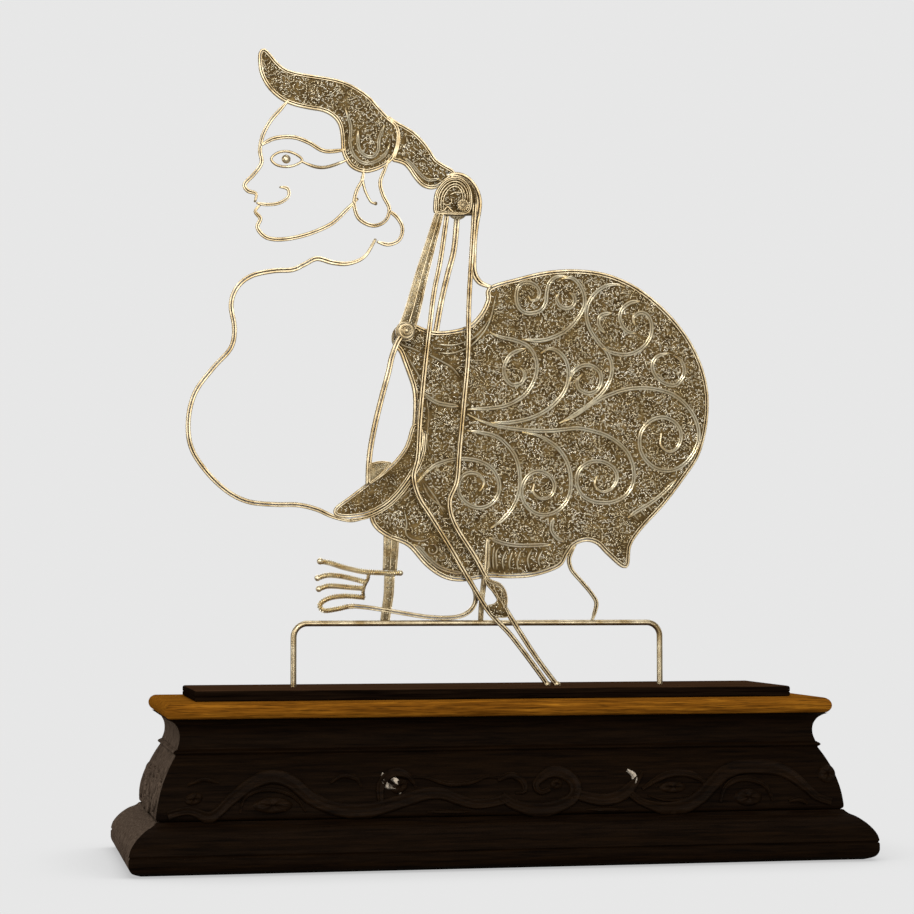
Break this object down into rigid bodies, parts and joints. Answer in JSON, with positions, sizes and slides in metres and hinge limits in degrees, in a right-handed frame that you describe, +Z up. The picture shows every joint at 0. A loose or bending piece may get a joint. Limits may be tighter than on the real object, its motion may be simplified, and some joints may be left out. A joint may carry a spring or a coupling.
{
  "type": "wirework shadow-puppet figure on a plinth",
  "caption": "Flat filigree and bent-wire puppet figure with riveted swinging arms, standing on a wire bracket in a carved, moulded wooden plinth.",
  "frame": {"origin": "centre of the plinth's underside", "axes": "+Z up, X along the plinth with the figure facing -X, the viewed side faces -Y"},
  "size_m": [0.27, 0.102, 0.2982],
  "materials": {
    "gilt_wire": "drawn wire, pale antique gilt, darkened in its hollows",
    "gilt_filigree": "packed curls of fine gilt wire over dark recesses",
    "carved_dark_wood": "near-black stained, satin waxed, carved",
    "golden_wood": "golden brown, satin",
    "polished_dark_wood": "black-brown, polished",
    "plain_wood": "bare, planed",
    "base_felt": "short-pile felt",
    "screw_steel": "bright zinc"
  },
  "bodies": {
    "plinth_and_figure": {"foot_front": "carved_dark_wood", "foot_back": "carved_dark_wood", "foot_left": "carved_dark_wood", "foot_right": "carved_dark_wood", "frieze_front": "carved_dark_wood", "frieze_back": "carved_dark_wood", "frieze_left": "carved_dark_wood", "frieze_right": "carved_dark_wood", "cove_front": "carved_dark_wood", "cove_back": "carved_dark_wood", "cove_left": "carved_dark_wood", "cove_right": "carved_dark_wood", "top_board": "golden_wood", "top_plate": "polished_dark_wood", "core_block": "plain_wood", "base_board": "plain_wood", "base_felt": "base_felt", "base_screws": "screw_steel", "stand_wire": "gilt_wire", "rod_front": "gilt_wire", "rod_rear": "gilt_wire", "rod_knuckle": "gilt_wire", "belly_wire": "gilt_wire", "profile_wire": "gilt_wire", "jaw_wire": "gilt_wire", "brow_wire": "gilt_wire", "eye_wire": "gilt_wire", "eye_bead": "gilt_wire", "mouth_wire": "gilt_wire", "ear_wire": "gilt_wire", "earring_wire": "gilt_wire", "crest_frame": "gilt_wire", "crest_sheet": "gilt_filigree", "nape_frame": "gilt_wire", "nape_sheet": "gilt_filigree", "shoulder_plate": "gilt_wire", "shoulder_rivet": "gilt_wire", "back_wire": "gilt_wire", "robe_frame": "gilt_wire", "robe_sheet": "gilt_filigree", "robe_scrolls_front": "gilt_wire", "robe_scrolls_back": "gilt_wire", "flap_frame": "gilt_wire", "flap_sheet": "gilt_filigree", "shin_strip": "gilt_filigree", "rear_shin_strip": "gilt_filigree", "ankle_strip": "gilt_filigree", "toe_wires": "gilt_wire", "instep_wire": "gilt_wire", "sole_wire": "gilt_wire", "rear_leg_wire": "gilt_wire"},
    "near_upper_arm": {"near_shoulder_cap": "gilt_filigree", "near_arm_strand": "gilt_filigree", "near_elbow_rivet": "gilt_wire"},
    "near_lower_arm": {"near_forearm": "gilt_wire", "near_hand": "gilt_filigree"},
    "far_upper_arm": {"far_upper_arm": "gilt_wire", "far_elbow_rivet": "gilt_wire"},
    "far_lower_arm": {"far_forearm": "gilt_wire"}
  },
  "joints": [
    {"name": "near_shoulder", "type": "hinge", "parent": "plinth_and_figure", "child": "near_upper_arm", "pos_m": [-0.01, -0.006, 0.2408], "axis": [0, 1, 0], "range_deg": [-30, 110]},
    {"name": "near_elbow", "type": "hinge", "parent": "near_upper_arm", "child": "near_lower_arm", "pos_m": [-0.0316, -0.008, 0.1932], "axis": [0, 1, 0], "range_deg": [-20, 120]},
    {"name": "far_shoulder", "type": "hinge", "parent": "plinth_and_figure", "child": "far_upper_arm", "pos_m": [-0.01, 0.003, 0.2408], "axis": [0, 1, 0], "range_deg": [-30, 110]},
    {"name": "far_elbow", "type": "hinge", "parent": "far_upper_arm", "child": "far_lower_arm", "pos_m": [-0.0195, 0.005, 0.187], "axis": [0, 1, 0], "range_deg": [-20, 130]}
  ]
}
